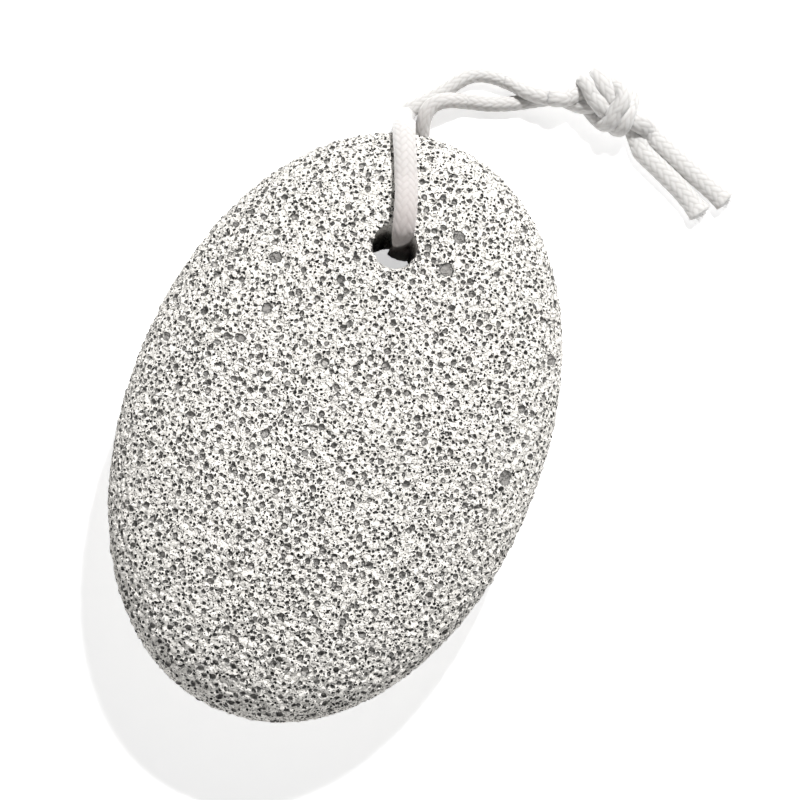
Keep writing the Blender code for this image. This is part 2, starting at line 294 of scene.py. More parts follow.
@dataclass
class Strands:
    """Lengths of cord as chains of points, in mm, which pull tight and lie down by small moves.

    The cord's thickness is contact, weight is how far a round lets a point sink, and slack_rate is
    what a round leaves of a link's length until the chain is stretched by most_stretch.
    """

    chains: list[np.ndarray]
    contact: float = 1.9
    least_height: float = 1.2
    softness: float = 0.03
    weight: float = 0.003
    bore_clearance: float = 0.55
    mouth_margin: float = 0.2
    mouth_depth: float = 0.8
    near_margin: float = 1.2
    own_span: float = 1.5
    push_share: float = 0.3
    slack_rate: float = 0.999
    most_stretch: float = 1.04
    rounds_a_search: int = 6
    passes_a_round: int = 5

    def __post_init__(self) -> None:
        """Joins the chains in one array, and holds the two points at each end of each."""
        counts = [len(chain) for chain in self.chains]
        self.points = np.vstack(self.chains)
        self.starts = np.cumsum([0] + counts)
        self.owner = np.repeat(np.arange(len(counts)), counts)
        self.place = np.concatenate([np.arange(count) for count in counts])
        self.held = np.zeros(len(self.points), bool)
        for start, end in zip(self.starts, self.starts[1:]):
            self.held[start : start + 2] = True
            self.held[end - 2 : end] = True
        self.held_at = self.points[self.held].copy()
        spans = [np.linalg.norm(np.diff(chain, axis=0), axis=1) for chain in self.chains]
        self.link = np.array([lengths.mean() for lengths in spans])
        self.pairs = np.triu_indices(len(self.points), 1)
        self.near = (np.zeros(0, int), np.zeros(0, int))

    def find_near(self) -> None:
        """Lists the pairs of points that could touch soon."""
        first, second = self.pairs
        apart = math.ceil(self.contact * self.own_span / self.link.min())
        gap = self.points[second] - self.points[first]
        close = np.einsum("ij,ij->i", gap, gap) < (self.contact + self.near_margin) ** 2
        apart_enough = np.abs(self.place[first] - self.place[second]) > apart
        keep = close & ((self.owner[first] != self.owner[second]) | apart_enough)
        self.near = (first[keep], second[keep])

    def shorten(self) -> None:
        """Takes up slack in each chain, unless it is taut already."""
        for index, (start, end) in enumerate(zip(self.starts, self.starts[1:])):
            spans = np.linalg.norm(np.diff(self.points[start:end], axis=0), axis=1)
            if spans.mean() < self.link[index] * self.most_stretch:
                self.link[index] *= self.slack_rate

    def bend_softly(self) -> None:
        """Moves each point a little towards the middle of its two neighbours."""
        for start, end in zip(self.starts, self.starts[1:]):
            inner = slice(start + 1, end - 1)
            middles = (self.points[start : end - 2] + self.points[start + 2 : end]) / 2
            self.points[inner] += self.softness * (middles - self.points[inner])

    def keep_lengths(self) -> None:
        """Brings each link back to its length, first the even ones and then the odd ones."""
        for index, (start, end) in enumerate(zip(self.starts, self.starts[1:])):
            for parity in (0, 1):
                at = np.arange(start + parity, end - 1, 2)
                span = self.points[at + 1] - self.points[at]
                length = np.linalg.norm(span, axis=1, keepdims=True)
                shift = 0.5 * (length - self.link[index]) / length * span
                self.points[at] += shift
                self.points[at + 1] -= shift

    def push_apart(self) -> None:
        """Parts the points that lie nearer together than the cord is thick."""
        first, second = self.near
        gap = self.points[second] - self.points[first]
        length = np.linalg.norm(gap, axis=1)
        touching = length < self.contact
        if not touching.any():
            return
        first, second = first[touching], second[touching]
        gap, length = gap[touching], length[touching]
        shift = self.push_share * (self.contact - length)[:, None] * gap / length[:, None]
        np.add.at(self.points, first, -shift)
        np.add.at(self.points, second, shift)

    def rest_on(self, stone: Pillow | None, clearance: float) -> None:
        """Keeps the chains above the table and, given a stone, outside it or inside its bore.

        Args:
            stone: what the chains rest on besides the table, if anything.
            clearance: how far from the stone's surface the cord's middle line stays.
        """
        if stone is not None:
            depth, out = stone.outward(self.points)
            from_axis, away = stone.from_bore(self.points)
            room = stone.hole_radius - self.bore_clearance
            in_bore = from_axis < stone.hole_radius + self.mouth_margin
            sunk = (depth < clearance) & ~in_bore
            self.points[sunk] += (clearance - depth[sunk])[:, None] * out[sunk]
            tight = in_bore & (depth < -self.mouth_depth) & (from_axis > room)
            self.points[tight] -= (from_axis[tight] - room)[:, None] * away[tight]
        self.points[:, 2] = np.maximum(self.points[:, 2], self.least_height)

    def run(
        self,
        steps: int,
        shorten_after: int | None = None,
        stone: Pillow | None = None,
        clearance: float = 1.1,
    ) -> list[np.ndarray]:
        """Lets the chains settle.

        Args:
            steps: how many rounds of moves are made.
            shorten_after: the round from which slack is taken up, or None to keep the lengths.
            stone: what the chains rest on besides the table.
            clearance: how far from the stone's surface the cord's middle line stays.

        Returns:
            The settled chains.
        """
        for step in range(steps):
            if shorten_after is not None and step > shorten_after:
                self.shorten()
            self.bend_softly()
            self.points[:, 2] -= self.weight
            if step % self.rounds_a_search == 0:
                self.find_near()
            for _ in range(self.passes_a_round):
                self.keep_lengths()
                self.push_apart()
                self.rest_on(stone, clearance)
                self.points[self.held] = self.held_at
        return [self.points[start:end] for start, end in zip(self.starts, self.starts[1:])]


@dataclass(frozen=True)
class DoubledOverhandKnot:
    """Two strands tied together in one overhand knot: a loose pretzel of both, pulled tight."""

    centre: tuple[float, float, float] = (19.3, 62.2, 10.0)
    turn: float = math.radians(70.0)
    loop_size: float = 2.6
    loop_depth: float = 2.8
    strand_offset: float = 1.0
    loop_opening: float = 0.55
    loop_points: int = 14
    link: float = 0.75
    rounds: int = 3500
    loose_rounds: int = 150

    def loose_loop(self) -> np.ndarray:
        """Draws the pretzel that both strands follow at first: a trefoil, open at one side.

        Returns:
            Its points in mm, in its own axes.
        """
        opening = self.loop_opening
        t = np.linspace(math.pi + opening, 3 * math.pi - opening, self.loop_points)
        loop = np.stack(
            [
                (np.sin(t) + 2 * np.sin(2 * t)) * self.loop_size,
                (np.cos(t) - 2 * np.cos(2 * t)) * self.loop_size,
                np.sin(3 * t) * self.loop_depth,
            ],
            axis=1,
        )
        if loop[0, 0] > 0:
            loop = loop[::-1]
        loop[:, 1] -= (loop[0, 1] + loop[-1, 1]) / 2
        return loop

    def tie(self, entries: tuple, exits: tuple) -> list[np.ndarray]:
        """Ties the knot between four held points.

        Args:
            entries: where the two strands come in, in mm.
            exits: where they go out again, in the same order.

        Returns:
            The two strands' points, from entry to exit.
        """
        entry_middle = np.mean(entries, axis=0)
        exit_middle = np.mean(exits, axis=0)
        along = normalised(exit_middle - entry_middle)
        side = normalised(np.cross([0.0, 0.0, 1.0], along))
        frame_axes = np.stack([along, side, np.cross(along, side)], axis=1)
        spin = np.array(Matrix.Rotation(self.turn, 3, "X"))
        loop = self.loose_loop()
        chains = []
        for sign, entry, leave in zip((1, -1), entries, exits):
            shifted = loop + np.array([0.0, 0.0, sign * self.strand_offset])
            placed = shifted @ (frame_axes @ spin).T + np.array(self.centre)
            whole = smooth_line(np.vstack([entry, placed, leave]), steps=24)
            chains.append(evenly_spaced(whole, self.link))
        return Strands(chains).run(self.rounds, shorten_after=self.loose_rounds)


@dataclass(frozen=True)
class Braid:
    """The round braid of the cord: yarns that wind both ways, each over two and then under two."""

    yarns_each_way: int = 10
    pitch_mm: float = 14.0
    yarn_height_mm: float = 0.13
    end_height: float = 0.3
    ply_depth: float = 0.14
    ply_sharpness: int = 8

    def relief(self, along: np.ndarray, angle: np.ndarray) -> tuple[np.ndarray, np.ndarray]:
        """Measures the braid's surface.

        Args:
            along: distance along the cord, in mm.
            angle: place round the cord, in radians.

        Returns:
            The height over the core in mm, and how deep in a crevice each place lies, from 0 to 1.
        """
        right = self.yarns_each_way * (angle / math.tau + along / self.pitch_mm)
        left = self.yarns_each_way * (angle / math.tau - along / self.pitch_mm)
        part_right, part_left = right - np.floor(right), left - np.floor(left)
        turn = np.mod(np.floor(right) + np.floor(left), 4)
        right_on_top = turn < 2
        across = 2 * np.where(right_on_top, part_right, part_left) - 1
        through = (np.mod(turn, 2) + np.where(right_on_top, part_left, part_right)) / 2
        dome = np.sqrt(np.maximum(1 - across**2, 0.0))
        plies = 1 - self.ply_depth * np.cos(math.pi * across) ** self.ply_sharpness
        arch = self.end_height + (1 - self.end_height) * np.sqrt(np.sin(math.pi * through))
        share = dome * plies * arch
        return share * self.yarn_height_mm, 1 - share


@dataclass(frozen=True)
class FrayedEnd:
    """The short loose fibres of a cut end, in mm; a pair of sizes is the least and the greatest."""

    seed: int
    fibres: int = 70
    reach: float = 1.15
    thin_share: float = 0.8
    rooted: float = 0.5
    lean: tuple[float, float] = (0.1, 0.9)
    curl: float = 0.22
    length: tuple[float, float] = (0.5, 1.25)
    thickness: tuple[float, float] = (0.035, 0.06)
    taper: float = 0.5
    stations: int = 5

    def build(
        self, end: np.ndarray, tangent: np.ndarray, thin: np.ndarray, wide: np.ndarray
    ) -> tuple[np.ndarray, list[tuple[int, ...]]]:
        """Makes the fibres.

        Args:
            end: the run's last point.
            tangent: the way the run points there.
            thin: the way of its thin side.
            wide: the way of its wide side.

        Returns:
            The fibres' points and faces.
        """
        draw = np.random.default_rng(self.seed)
        points = []
        faces = []
        for _ in range(self.fibres):
            turn = draw.uniform(0, math.tau)
            spread = math.sqrt(draw.uniform(0.0, 1.0))
            out = math.cos(turn) * wide + math.sin(turn) * thin * self.thin_share
            root = end + out * spread * self.reach - tangent * self.rooted
            lean = normalised(tangent + out * spread * draw.uniform(*self.lean))
            curl = draw.normal(size=3) * self.curl
            length = draw.uniform(*self.length)
            thickness = draw.uniform(*self.thickness)
            across = normalised(np.cross(lean, draw.normal(size=3)))
            upright = np.cross(lean, across)
            first = len(points)
            for station in range(self.stations):
                share = station / (self.stations - 1)
                middle = root + lean * length * share + curl * share**2
                radius = thickness * (1 - self.taper * share)
                for corner in range(3):
                    around = corner * math.tau / 3
                    offset = math.cos(around) * across + math.sin(around) * upright
                    points.append(middle + radius * offset)
            for station in range(self.stations - 1):
                low = first + 3 * station
                for corner in range(3):
                    after = (corner + 1) % 3
                    faces.append((low + corner, low + after, low + 3 + after, low + 3 + corner))
            faces.append((first, first + 2, first + 1))
            tip = first + 3 * (self.stations - 1)
            faces.append((tip, tip + 1, tip + 2))
        return np.array(points), faces


@dataclass
class BraidedRun:
    """One run of the cord as a braided tube whose section changes along its way, in mm."""

    name: str
    line: np.ndarray
    sections: tuple[tuple[float, float, float], ...]
    frayed: FrayedEnd
    braid: Braid = Braid()
    ring_step: float = 0.14
    sides: int = 64
    sunk_share: float = 0.8
    turn_window: int = 41
    lies_on_stone: tuple[float, float] = (0.2, 1.6)
    lies_above: float = 5.0
    table_height: float = 1.6
    off_stone: float = 3.0
    flare_share: float = 0.2
    flare_reach: float = 1.6
    rounding: float = 0.35
    least_rounding: float = 0.05
    caps: tuple[float, float] = (0.3, 0.25)
    # How much crevice shade is painted on the end caps' middles and on the loose fibres.
    cap_crevices: tuple[float, float] = (0.5, 0.9)
    fibre_crevice: float = 0.15
    # How far from the middle of the bore, in mm, each run is painted darker, and how much at most.
    near_hole_reach: float = 26.0
    most_near_hole_darkening: float = 0.9

    def frames(
        self, rings: np.ndarray, up: np.ndarray
    ) -> tuple[np.ndarray, np.ndarray, np.ndarray]:
        """Turns a frame along the run so that its thin way follows the wanted up.

        Args:
            rings: the ring centres.
            up: the wanted thin way at each ring, zero where any will do.

        Returns:
            The tangents, the thin ways and the wide ways.
        """
        tangents = normalised(np.gradient(rings, axis=0))
        carried = np.zeros_like(rings)
        current = np.cross(tangents[0], [1.0, 0.0, 0.0])
        for index, tangent in enumerate(tangents):
            current = current - tangent * np.dot(current, tangent)
            current = current / np.linalg.norm(current)
            carried[index] = current
        sideways = np.cross(tangents, carried)
        wanted = np.linalg.norm(up, axis=1) > 0.5
        places = np.nonzero(wanted)[0]
        turns = np.arctan2(
            np.einsum("ij,ij->i", up[places], sideways[places]),
            np.einsum("ij,ij->i", up[places], carried[places]),
        )
        turn = np.interp(np.arange(len(rings)), places, np.unwrap(turns, period=math.pi))
        kernel = np.hanning(self.turn_window)
        kernel /= kernel.sum()
        turn = np.convolve(np.pad(turn, self.turn_window // 2, mode="edge"), kernel, mode="valid")
        thin = carried * np.cos(turn)[:, None] + sideways * np.sin(turn)[:, None]
        return tangents, thin, np.cross(tangents, thin)

    def wanted_up(self, rings: np.ndarray, stone: Pillow) -> np.ndarray:
        """Finds which way the flat side faces: out of the stone on the stone, and up on the table.

        Args:
            rings: the ring centres.
            stone: the form that the cord lies on.

        Returns:
            The thin way at each ring, zero where any will do.
        """
        depth, out = stone.outward(rings)
        up = np.zeros_like(rings)
        least, greatest = self.lies_on_stone
        on_stone = (depth > least) & (depth < greatest) & (rings[:, 2] > self.lies_above)
        up[on_stone] = out[on_stone]
        up[(rings[:, 2] < self.table_height) & (depth > self.off_stone)] = (0.0, 0.0, 1.0)
        return up

    def build(self, stone: Pillow) -> tuple[bpy.types.Object, np.ndarray]:
        """Makes the tube.

        Args:
            stone: the form that the cord lies on, which turns its flat side down.

        Returns:
            The object, and its ring centres in metres.
        """
        rings = evenly_spaced(smooth_line(self.line, steps=12), self.ring_step)
        along = arc_lengths(rings)
        tangents, thin, wide = self.frames(rings, self.wanted_up(rings, stone))
        marks = np.array(self.sections)
        share = along / along[-1]
        half_wide = np.interp(share, marks[:, 0], marks[:, 1]) / 2
        half_thin = np.interp(share, marks[:, 0], marks[:, 2]) / 2
        angle = np.arange(self.sides) / self.sides * math.tau
        grid_along, grid_angle = np.meshgrid(along, angle, indexing="ij")
        height, crevice = self.braid.relief(grid_along, grid_angle)
        rise = height - self.sunk_share * self.braid.yarn_height_mm
        wide_reach = (half_wide[:, None] + rise) * np.cos(grid_angle)
        thin_reach = (half_thin[:, None] + rise) * np.sin(grid_angle)
        spots = (
            rings[:, None]
            + wide_reach[..., None] * wide[:, None]
            + thin_reach[..., None] * thin[:, None]
        )
        spots = self.round_ends(spots, rings, along)
        points = spots.reshape(-1, 3)
        faces = self.skin(len(rings), len(points))
        start_cap = rings[0] - tangents[0] * self.caps[0]
        end_cap = rings[-1] + tangents[-1] * self.caps[1]
        points = np.vstack([points, start_cap, end_cap])
        fibre_points, fibre_faces = self.frayed.build(rings[-1], tangents[-1], thin[-1], wide[-1])
        faces += [tuple(corner + len(points) for corner in face) for face in fibre_faces]
        points = np.vstack([points, fibre_points])
        fibre_crevices = np.full(len(fibre_points), self.fibre_crevice)
        crevice = np.concatenate([crevice.ravel(), self.cap_crevices, fibre_crevices])
        points[:, 2] = np.maximum(points[:, 2], 0.0)
        mesh = bpy.data.meshes.new(self.name)
        mesh.from_pydata((points * MM).tolist(), [], faces)
        # How deep each point lies in the braid's crevices, which the finish paints greyer as shade.
        mesh.attributes.new("crevice", "FLOAT", "POINT").data.foreach_set("value", crevice)
        # Each run is painted darker near the hole, fading with distance from the middle of the bore.
        near_hole_darkening = np.zeros(len(points))
        fading = np.exp(-((grid_along.ravel() / self.near_hole_reach) ** 2))
        near_hole_darkening[: grid_along.size] = self.most_near_hole_darkening * fading
        mesh.attributes.new("near_hole_darkening", "FLOAT", "POINT").data.foreach_set("value", near_hole_darkening)
        mesh.shade_smooth()
        return stand(self.name, mesh), rings * MM

    def round_ends(self, spots: np.ndarray, rings: np.ndarray, along: np.ndarray) -> np.ndarray:
        """Flares the last rings a little, as a cut braid opens, and closes both ends.

        Args:
            spots: each ring's points.
            rings: the ring centres.
            along: each ring's distance from the first.

        Returns:
            The moved points.
        """
        from_end = along[-1] - along
        flare = 1 + self.flare_share * np.exp(-((from_end / self.flare_reach) ** 2))
        close_end = np.sqrt(np.clip(from_end / self.rounding, self.least_rounding, 1.0))
        close_start = np.sqrt(np.clip(along / self.rounding, self.least_rounding, 1.0))
        scale = (flare * (close_end * close_start))[:, None, None]
        return rings[:, None] + (spots - rings[:, None]) * scale

    def skin(self, ring_count: int, centre: int) -> list[tuple[int, ...]]:
        """The quads between rings and the fans that close both ends.

        Args:
            ring_count: how many rings there are.
            centre: the index of the first ring's middle point; the last ring's follows it.

        Returns:
            The faces, each a tuple of point indices.
        """
        faces = []
        for ring in range(ring_count - 1):
            low = ring * self.sides
            high = low + self.sides
            for side in range(self.sides):
                after = (side + 1) % self.sides
                faces.append((low + side, high + side, high + after, low + after))
        last = (ring_count - 1) * self.sides
        for side in range(self.sides):
            after = (side + 1) % self.sides
            faces.append((centre, side, after))
            faces.append((centre + 1, last + after, last + side))
        return faces


@dataclass
class HangingCord:
    """The whole cord: two runs from the middle of the bore, through the knot, to the cut tails."""

    stone: Pillow
    diameter: float = 2.4 * MM
    knot: DoubledOverhandKnot = DoubledOverhandKnot()
    settling_rounds: int = 260
    first_fray_seed: int = 5

    def settle(self) -> list[np.ndarray]:
        """Ties the knot, joins it to the free routes and lets both runs lie down.

        Returns:
            The front run's points and the back run's, in mm.
        """
        front, back = np.array(FRONT_ROUTE_MM), np.array(BACK_ROUTE_MM)
        upper, lower = np.array(UPPER_TAIL_ROUTE_MM), np.array(LOWER_TAIL_ROUTE_MM)
        knotted = self.knot.tie((front[-1], back[-1]), (upper[0], lower[0]))
        chains = []
        for route, strand, tail in ((front, knotted[0], upper), (back, knotted[1], lower)):
            free = evenly_spaced(smooth_line(route), self.knot.link)
            last = evenly_spaced(smooth_line(tail), self.knot.link)
            chains.append(np.vstack([free[:-1], strand[1:-1], last]))
        laid = Strands(
            [evenly_spaced(smooth_line(chain, steps=4), self.knot.link) for chain in chains],
            least_height=1.05,
            weight=0.004,
        )
        return laid.run(self.settling_rounds, stone=self.stone)

    def build(self, finish: "CordFinish") -> list[bpy.types.Object]:
        """Builds both runs, hangs each from the root and hides the cord's pieces that they replace.

        Args:
            finish: the finish that they take.

        Returns:
            The front run and the back run.
        """
        lines = self.settle()
        front_nodes = ("cord_front_strand", "cord_knot", "cord_upper_tail")
        plans = (
            ("cord_front_run", lines[0], FRONT_SECTIONS, front_nodes),
            ("cord_back_run", lines[1], BACK_SECTIONS, ("cord_back_strand", "cord_lower_tail")),
        )
        material = finish.build()
        runs = []
        for index, (name, line, sections, nodes) in enumerate(plans):
            frayed = FrayedEnd(self.first_fray_seed + index)
            braided = BraidedRun(name, line, sections + KNOT_AND_TAIL_SECTIONS, frayed)
            run, path = braided.build(self.stone)
            run.data.materials.append(material)
            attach(run, "root")
            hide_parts(*nodes)
            LOG.info("%s: %.1f mm of cord", name, arc_lengths(path)[-1] / MM)
            runs.append(run)
        return runs


@dataclass(frozen=True)
class Wiring:
    """Adds nodes to one tree and links them, so that a finish reads as a list of steps."""

    tree: bpy.types.NodeTree

    def add(
        self, kind: str, inputs: dict[str | int, Value] | None = None, **settings: object
    ) -> bpy.types.Node:
        """Adds a node.

        Args:
            kind: the node's type, without the ShaderNode that it starts with.
            inputs: by each input's name or number, what it holds or the socket that feeds it.
            settings: the node's own options.

        Returns:
            The node.
        """
        node = self.tree.nodes.new("ShaderNode" + kind)
        for name, option in settings.items():
            setattr(node, name, option)
        for key, value in (inputs or {}).items():
            self.feed(node.inputs[key], value)
        return node

    def feed(self, socket: bpy.types.NodeSocket, value: Value) -> None:
        """Fills an input.

        Args:
            socket: the input.
            value: what it holds, or the socket that feeds it.
        """
        if isinstance(value, bpy.types.NodeSocket):
            self.tree.links.new(value, socket)
        else:
            socket.default_value = value

    def dress(self, **values: Value) -> None:
        """Fills inputs of the material's own shader, named with _ for each space."""
        for name, value in values.items():
            self.feed(self.tree.nodes["Principled BSDF"].inputs[name.replace("_", " ")], value)

    def here(self) -> bpy.types.NodeSocket:
        """Each place's own coordinates on the object."""
        return self.add("TexCoord").outputs["Object"]

    def held(self, attribute: str, output: str = "Fac") -> bpy.types.NodeSocket:
        """What one of the mesh's attributes holds."""
        return self.add("Attribute", attribute_name=attribute).outputs[output]

    def maths(self, operation: str, *values: Value) -> bpy.types.NodeSocket:
        """The result of a sum on numbers."""
        return self.add("Math", dict(enumerate(values)), operation=operation).outputs["Value"]

    def vector(
        self, operation: str, inputs: dict[str | int, Value], output: str = "Vector"
    ) -> bpy.types.NodeSocket:
        """The result of a sum on vectors."""
        return self.add("VectorMath", inputs, operation=operation).outputs[output]

    def mixed(self, factor: Value, first: Value, second: Value) -> bpy.types.NodeSocket:
        """The colour that goes from the first to the second as the factor goes from 0 to 1."""
        inputs = {"Factor": factor, "A": first, "B": second}
        return self.add("Mix", inputs, data_type="RGBA").outputs["Result"]

    def step(
        self, value: Value, span: tuple[float, float], top: float = 1.0
    ) -> bpy.types.NodeSocket:
        """A soft step, from 0 to a top, as the value crosses a span."""
        inputs = {"Value": value, "From Min": span[0], "From Max": span[1], "To Max": top}
        return self.add("MapRange", inputs, interpolation_type="SMOOTHSTEP").outputs["Result"]

    def bump(self, height: Value, distance: float, strength: float = 1.0) -> bpy.types.NodeSocket:
        """The normal that a height over the surface gives."""
        inputs = {"Height": height, "Distance": distance, "Strength": strength}
        return self.add("Bump", inputs).outputs["Normal"]


def new_material(name: str) -> tuple[bpy.types.Material, Wiring]:
    """Makes a material.

    Args:
        name: its name.

    Returns:
        The material, and the wiring of its nodes.
    """
    material = bpy.data.materials.new(name)
    material.use_nodes = True
    return material, Wiring(material.node_tree)


class Grain(Enum):
    """The scales of fine grain that the finishes use, in grains a metre."""

    STONE = 3200.0
    FIBRE = 9000.0


@dataclass(frozen=True)
class FineGrainGroup:
    """A shader node group that gives fine irregular grain, made once and shared by the finishes."""

    name: str = "fine_grain"
    fine_detail: float = 3.0
    fine_roughness: float = 0.6
    broad_detail: float = 2.0

    def build(self) -> bpy.types.NodeTree:
        """Makes the group: Scale and Broad Scale in, Height and Mottle out.

        Returns:
            The group.
        """
        tree = bpy.data.node_groups.new(self.name, "ShaderNodeTree")
        for socket in ("Scale", "Broad Scale"):
            tree.interface.new_socket(socket, in_out="INPUT", socket_type="NodeSocketFloat")
        for socket in ("Height", "Mottle"):
            tree.interface.new_socket(socket, in_out="OUTPUT", socket_type="NodeSocketFloat")
        wiring = Wiring(tree)
        scales = tree.nodes.new("NodeGroupInput").outputs
        leave = tree.nodes.new("NodeGroupOutput").inputs
        place = wiring.here()
        fine = {
            "Vector": place,
            "Scale": scales["Scale"],
            "Detail": self.fine_detail,
            "Roughness": self.fine_roughness,
        }
        broad = {"Vector": place, "Scale": scales["Broad Scale"], "Detail": self.broad_detail}
        wiring.feed(leave["Height"], wiring.add("TexNoise", fine).outputs["Fac"])
        wiring.feed(leave["Mottle"], wiring.add("TexNoise", broad).outputs["Fac"])
        return tree

    def place(self, wiring: Wiring, grain: Grain, broad_scale: float = 0.0) -> bpy.types.Node:
        """Puts the group in a material, and makes it at its first use.

        Args:
            wiring: the material's wiring.
            grain: the fine grain's scale.
            broad_scale: the mottle's scale, a metre, where the mottle is used.

        Returns:
            The group node.
        """
        tree = bpy.data.node_groups.get(self.name)
        if tree is None:
            tree = self.build()
        inputs = {"Scale": grain.value, "Broad Scale": broad_scale}
        return wiring.add("Group", inputs, node_tree=tree)


@dataclass(frozen=True)
class CordFinish:
    """Soft white cotton: pale yarns, painted greyer in the crevices as shade and painted darker near
    the hole, with a faint sheen.
    """

    yarn: Colour = (0.56, 0.55, 0.538, 1.0)
    # crevice is painted shade: the greyer colour of the yarns where they sink into the braid.
    crevice: Colour = (0.44, 0.425, 0.41, 1.0)
    crevice_shade_span: tuple[float, float] = (0.25, 0.95)
    # The colour that the cord is painted towards near the hole.
    near_hole_colour: Colour = (0.34, 0.292, 0.28, 1.0)
    roughness: float = 0.8
    sheen: float = 0.4
    translucence: float = 0.6
    light_reach: float = 0.8 * MM
    light_colour: tuple[float, float, float] = (1.0, 0.95, 0.9)
    fibre_strength: float = 0.25
    fibre_height: float = 0.05 * MM

    def build(self) -> bpy.types.Material:
        """Makes the material.

        Returns:
            The material.
        """
        material, wiring = new_material("cord")
        # The crevice depth is painted as shade, from the yarn colour to the greyer crevice colour.
        ramp = wiring.add("ValToRGB", {"Fac": wiring.held("crevice")})
        stops = zip(ramp.color_ramp.elements, self.crevice_shade_span, (self.yarn, self.crevice))
        for stop, position, colour in stops:
            stop.position = position
            stop.color = colour
        grain = FineGrainGroup().place(wiring, Grain.FIBRE)
        height = grain.outputs["Height"]
        # Base colour: the ramp's painted crevice shade, then painted darker near the hole.
        wiring.dress(
            Base_Color=wiring.mixed(wiring.held("near_hole_darkening"), ramp.outputs["Color"], self.near_hole_colour),
            Roughness=self.roughness,
            Sheen_Weight=self.sheen,
            Subsurface_Weight=self.translucence,
            Subsurface_Radius=self.light_colour,
            Subsurface_Scale=self.light_reach,
            Normal=wiring.bump(height, self.fibre_height, self.fibre_strength),
        )
        return material


class CellGrid:
    """Places in space, sorted into cubic cells, so that near ones are found quickly."""

    SPAN = 4096

    def __init__(self, places: np.ndarray, cell: float) -> None:
        """Sorts places.

        Args:
            places: the places, one a row.
            cell: the cells' edge, at least the farthest distance that matters.
        """
        self.cell = cell
        keys = self.key(np.floor(places / cell).astype(np.int64))
        self.order = np.argsort(keys, kind="stable")
        self.keys, self.starts, self.counts = np.unique(
            keys[self.order], return_index=True, return_counts=True
        )

    def key(self, cells: np.ndarray) -> np.ndarray:
        """One number for each cell."""
        shifted = cells + self.SPAN // 2
        return (shifted[:, 0] * self.SPAN + shifted[:, 1]) * self.SPAN + shifted[:, 2]

    def pairs(self, queries: np.ndarray) -> Iterator[tuple[np.ndarray, np.ndarray]]:
        """Pairs each query with the sorted places near it.

        Args:
            queries: the places to pair, one a row.

        Yields:
            Rows of the queries with one sorted place each, until all near pairs have come.
        """
        cells = np.floor(queries / self.cell).astype(np.int64)
        for step in np.ndindex(3, 3, 3):
            keys = self.key(cells + np.array(step) - 1)
            at = np.minimum(np.searchsorted(self.keys, keys), len(self.keys) - 1)
            counts = np.where(self.keys[at] == keys, self.counts[at], 0)
            for slot in range(counts.max(initial=0)):
                rows = np.nonzero(counts > slot)[0]
                yield rows, self.order[self.starts[at[rows]] + slot]


@dataclass(frozen=True)
class BubbleSizes:
    """One size class of open bubbles: how many are tried, and how wide they are, in mm."""

    tries: int
    least_radius: float
    greatest_radius: float


